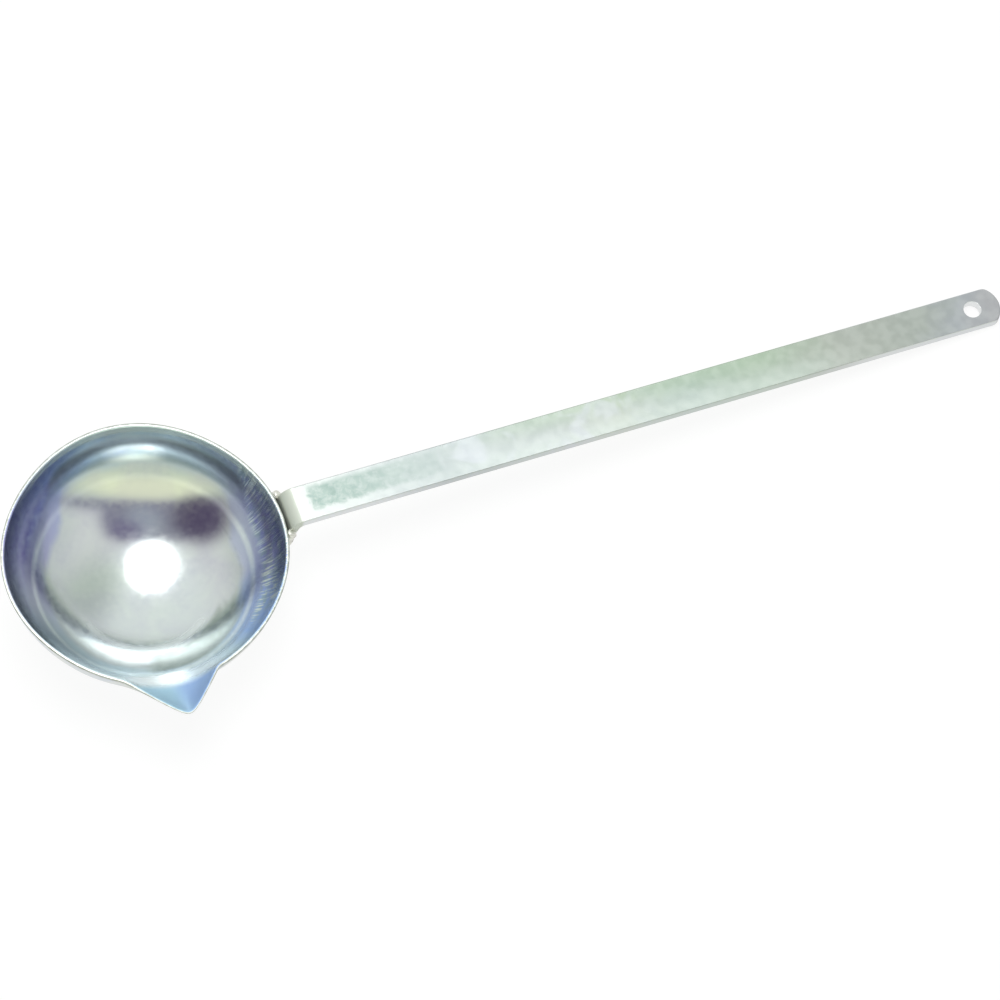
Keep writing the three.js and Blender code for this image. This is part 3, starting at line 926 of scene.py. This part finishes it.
# %% Handle material
def bar_zinc():
    material = bpy.data.materials.new("zinc_plate_satin_bar")
    add = emptied(material)
    level, x, y, z = level_place(add)
    clouds = add(NOISE, level, Scale=1 / BAR_CLOUD, Detail=3.0, Roughness=0.55, Distortion=0.5)
    slow = add(LESS, clouds, 0.5)
    fine = add(NOISE, level, Scale=1 / BAR_GRAIN, Detail=1.0)
    stirred = add(ADD, x, add(TIMES, slow, BAR_STIR))
    tint = heat_clouds(add, level, x, y, bar_film(add, stirred, y))
    tint = painted_side_and_hole_highlights(add, x, y, tint)
    # painted light: the bend is painted lighter to even out its shade
    lightened_bend = window(add, x, 46.0, 50.1, 0.7)
    tint = add(MIX, add(TIMES, lightened_bend, 0.85), tint, "#dde3d6")
    lilac = add(TIMES, window(add, stirred, 95.0, 170.0, 12.0), add(EASE, slow, 0.0, 0.16))
    tint = add(MIX, add(TIMES, lilac, 0.5), tint, "#c9cbd4")
    tint = add(MIX, add(EASE, fine, 0.3, 0.7, 0.0, 0.11), tint, "#dfe2de")
    rough = add(ADD, add(EASE, fine, 0.3, 0.7, 0.29, 0.34), add(TIMES, lightened_bend, 0.25))
    metallic = add(SLIDE, lightened_bend, 0.0, 1.0, 1.0, 0.35)
    add(SURFACE, Surface=add(METAL, Base_Color=tint, Roughness=rough, Metallic=metallic))
    return material


bar_finish = bar_zinc()
print("bar nodes:", len(bar_finish.node_tree.nodes))

# %% [markdown]
# ## Zinc on the weld beads
#
# The beads are given the same zinc, as if plated after welding. Weld metal freezes coarse, so to the eye
# it is bright on the crests and grey in the ripples.

# %% Weld material
WELD_GRAIN = 0.8  # millimetres


def weld_zinc():
    material = bpy.data.materials.new("zinc_plate_weld_bead")
    add = emptied(material)
    fine = add(NOISE, level_place(add)[0], Scale=1 / WELD_GRAIN, Detail=4.0, Roughness=0.6)
    tint = add(RAMP, fine, stops=((0.3, "#cfcfc4"), (0.7, "#efeee8")))
    rough = add(EASE, fine, 0.3, 0.7, 0.28, 0.45)
    add(SURFACE, Surface=add(METAL, Base_Color=tint, Roughness=rough, Metallic=1.0))
    return material


weld_finish = weld_zinc()
print("weld nodes:", len(weld_finish.node_tree.nodes))

# %% [markdown]
# ## Giving out the materials, and tying the pieces down
#
# The real ladle is one rigid thing, so every piece rides on the one body. Each stands in for a CAD node,
# which is hidden, and is given a zinc material.

# %% Materials and the frame
for piece, finish, cad_node, record_slot in (
    (bowl, bowl_finish, "bowl", "bowl_steel"),
    (handle, bar_finish, "handle", "bar_steel"),
    (beads[0], weld_finish, "weld_bead_spout_side", "weld_steel"),
    (beads[1], weld_finish, "weld_bead_far_side", "weld_steel"),
):
    piece.data.materials.append(finish)
    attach(piece, "root")
    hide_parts(cad_node)
    print(piece.name, "wears", finish.name, "in place of", cad_node)

# %% [markdown]
# ## The floor
#
# The ladle lies on a pale floor. To the camera, and in reflections, part of the floor's colour is its
# own white, so that it joins the white backdrop and still shows the ladle's soft shadow.

# %% Floor
FLOOR_SHARE = 0.8  # how much of what the camera sees is the floor's own white
FLOOR_WHITE = 1.1
FLOOR_HALF = 6.0  # metres
FLOOR_DROP = 0.0001  # metres below the ladle's lowest point


def in_view(add):
    """One for what the camera sees, straight, mirrored or through glass; and the ray kinds."""
    paths = add(("ShaderNodeLightPath", {})).node.outputs
    seen = add(LARGER, paths["Is Camera Ray"], paths["Is Glossy Ray"])
    return add(LARGER, seen, paths["Is Transmission Ray"]), paths


def floor_material():
    material = bpy.data.materials.new("pale_floor")
    add = emptied(material)
    share = add(TIMES, in_view(add)[0], FLOOR_SHARE)
    paint = add(("ShaderNodeBsdfDiffuse", {}), Color="#f2f2f2")
    white = add(("ShaderNodeEmission", {}), Color="#ffffff", Strength=FLOOR_WHITE)
    add(SURFACE, Surface=add(("ShaderNodeMixShader", {}), share, paint, white))
    return material


floor_points = np.array([[-1, -1, 0], [1, -1, 0], [1, 1, 0], [-1, 1, 0]]) * FLOOR_HALF
floor_points[:, 2] = cad_low[2] - FLOOR_DROP
floor = add_piece("floor", floor_points, np.array([[0, 1, 2, 3]]))
floor.data.materials.append(floor_material())

# %% [markdown]
# ## The camera
#
# The ladle is seen from well above, with the handle running up to the right. The camera looks near the
# middle of the ladle's box, from far enough back for a long lens.

# %% Camera
VIEW_AZIMUTH = np.radians(-21.424)
VIEW_ELEVATION = np.radians(66.321)
VIEW_ROLL = np.radians(-1.108)
VIEW_DISTANCE = 1.43248  # metres
SENSOR, LENS = 36.0, 162.0  # millimetres
AIM_FROM_MIDDLE = np.array([-11.71, -10.67, 0.0]) * MM

middle = (np.array(cad_low) + np.array(cad_high)) / 2
aim = middle + AIM_FROM_MIDDLE
level_back = np.array([np.sin(VIEW_AZIMUTH), -np.cos(VIEW_AZIMUTH), 0.0])
back = np.cos(VIEW_ELEVATION) * level_back + [0.0, 0.0, np.sin(VIEW_ELEVATION)]
level_right = np.cross([0.0, 0.0, 1.0], back)
level_right /= np.linalg.norm(level_right)
level_up = np.cross(back, level_right)
camera_right = np.cos(VIEW_ROLL) * level_right - np.sin(VIEW_ROLL) * level_up
camera_up = np.sin(VIEW_ROLL) * level_right + np.cos(VIEW_ROLL) * level_up
camera_data = bpy.data.cameras.new("camera")
camera = bpy.data.objects.new("camera", camera_data)
bpy.context.scene.collection.objects.link(camera)
camera_data.sensor_width = SENSOR
camera_data.lens = LENS
camera_data.clip_end = 50.0
placing = np.eye(4)
placing[:3] = np.stack([camera_right, camera_up, back, aim + back * VIEW_DISTANCE], axis=1)
camera.matrix_world = Matrix(placing.tolist())
bpy.context.scene.camera = camera
print("camera at", placing[:3, 3].round(4))

# %% [markdown]
# ## The studio
#
# Bright metal looks like what surrounds it. The room is a white tent with brighter and darker panels and
# an opening where the camera stands, which is the dark shape on the bowl's floor. The panels are drawn
# in the world, by direction across and up. Their colours are linear, as some are brighter than white.

# %% The panels
# middle across and up, half width and half height, softness of the edge; then the linear colour
CEILING_PANELS = (
    ((0.0, 0.72, 0.6, 0.48, 0.35), (1.12, 1.17, 1.14, 1)),
    ((0.62, 0.72, 0.24, 0.3, 0.8), (0.7, 0.76, 0.71, 1)),
)
LOW_PANELS = (
    ((0.05, -0.42, 0.72, 0.13, 0.4), (1.26, 1.28, 0.93, 1)),  # warm
    ((0.22, -0.86, 0.13, 0.1, 0.7), (1.5, 1.7, 1.6, 1)),  # small and bright
)
OPENING_SHAPES = (
    ((0.68, -0.23, 0.3, 0.08, 0.5), (0.36, 0.36, 0.46, 1)),  # right of the opening
    ((0.02, -0.05, 0.6, 0.3, 0.16), (0.34, 0.33, 0.43, 1)),  # the opening itself
    ((0.14, -0.02, 0.22, 0.2, 0.6), (0.5, 0.53, 0.63, 1)),  # paler, inside it
)
DARK_SHAPE = ((-0.53, -0.08, 0.3, 0.29, 0.4), (0.14, 0.11, 0.19, 1))
VIOLET_SHAPE = ((0.36, 0.1, 0.2, 0.12, 0.6), (0.27, 0.24, 0.38, 1))
WALL_LEFT, WALL_RIGHT = (0.76, 0.82, 0.74, 1), (0.82, 0.85, 0.86, 1)
BELOW_OPENING = (0.8, 0.88, 0.76, 1)
LIT_STRENGTH, SHOWN_STRENGTH = 0.55, 1.0  # what lights the ladle, and what is seen in it


def oval(add, across, up, front, shape):
    """One inside an oval of directions round the camera's, easing to nothing past its edge."""
    across_middle, up_middle, across_half, up_half, edge = shape
    one = add(OVER, add(LESS, across, across_middle), across_half)
    two = add(OVER, add(LESS, up, up_middle), up_half)
    distance = add(SQUARE_ROOT, add(ADD, add(TIMES, one, one), add(TIMES, two, two)))
    return add(TIMES, add(EASE, distance, 1 + edge, 1 - edge), front)


print("panels and shapes in the room:", len(CEILING_PANELS + LOW_PANELS + OPENING_SHAPES) + 2)

# %% [markdown]
# ## The room
#
# To the camera the room is plain white, for a white background. The metal mirrors the panels, and the
# light that falls on the ladle is the same room at a lower strength.

# %% World
def studio_world():
    world = bpy.data.worlds.new("studio")
    add = emptied(world)
    direction = add(("ShaderNodeTexCoord", {})).node.outputs["Generated"]
    across, up = add(TOWARDS, direction, tuple(level_right)), add(TOWARDS, direction, tuple(level_up))
    front = add(EASE, add(TOWARDS, direction, tuple(back)), -0.1, 0.1)
    tent = "#ffffff"
    room = add(MIX, add(TIMES, add(EASE, across, -0.7, -0.95), front), tent, WALL_LEFT)
    room = add(MIX, add(TIMES, add(EASE, across, 0.75, 0.98), front), room, WALL_RIGHT)
    for shape, colour in CEILING_PANELS:
        room = add(MIX, oval(add, across, up, front, shape), room, colour)
    room = add(MIX, add(TIMES, add(EASE, up, -0.26, -0.34), front), room, BELOW_OPENING)
    for shape, colour in LOW_PANELS:
        room = add(MIX, oval(add, across, up, front, shape), room, colour)
    sill, low_sill = add(EASE, up, -0.30, -0.25), add(EASE, up, -0.36, -0.3)
    for (shape, colour), cut_off in (
        *((opened, sill) for opened in OPENING_SHAPES), (DARK_SHAPE, low_sill), (VIOLET_SHAPE, sill)
    ):
        room = add(MIX, add(TIMES, oval(add, across, up, front, shape), cut_off), room, colour)
    shown, paths = in_view(add)
    room = add(MIX, paths["Is Camera Ray"], room, tent)
    strength = add(EASE, shown, 0.0, 1.0, LIT_STRENGTH, SHOWN_STRENGTH)
    background = add(("ShaderNodeBackground", {}), Color=room, Strength=strength)
    add(("ShaderNodeOutputWorld", {}), Surface=background)
    bpy.context.scene.world = world
    print("the room has", len(world.node_tree.nodes), "nodes")


studio_world()

# %% [markdown]
# ## The softbox
#
# One softbox hangs over the bowl, sized by the angle it fills as the bowl sees it. A lamp's power is its
# radiance times its area times pi, and an ellipse's area is pi times its two half widths.

# %% Softbox
SOFTBOX_HEIGHT = 1.6  # metres
SOFTBOX_HALF_ANGLE = np.radians(18.6)
SOFTBOX_RADIANCE = 3.6
SOFTBOX_NARROWER = 0.92  # its width as a share of its length
SOFTBOX_LEAN = np.array([0.06, 0.12, 1.0])

softbox_direction = SOFTBOX_LEAN / np.linalg.norm(SOFTBOX_LEAN)
softbox_radius = SOFTBOX_HEIGHT * np.tan(SOFTBOX_HALF_ANGLE)
softbox_data = bpy.data.lights.new("softbox", "AREA")
softbox_data.shape = "ELLIPSE"
softbox_data.size = 2 * softbox_radius * SOFTBOX_NARROWER
softbox_data.size_y = 2 * softbox_radius
softbox_data.energy = SOFTBOX_RADIANCE * np.pi**2 * softbox_radius**2 * SOFTBOX_NARROWER
softbox = bpy.data.objects.new("softbox", softbox_data)
bpy.context.scene.collection.objects.link(softbox)
softbox.location = Vector(LADLE_ORIGIN) + Vector(softbox_direction) * SOFTBOX_HEIGHT
softbox.rotation_euler = Vector(softbox_direction).to_track_quat("Z", "Y").to_euler()
print("softbox power in watts:", round(softbox_data.energy, 1))

# %% [markdown]
# ## Plain colour handling
#
# The Standard transform shows each colour as it was written.

# %% Plain colour handling
bpy.context.scene.view_settings.view_transform = "Standard"
print("view transform:", bpy.context.scene.view_settings.view_transform)
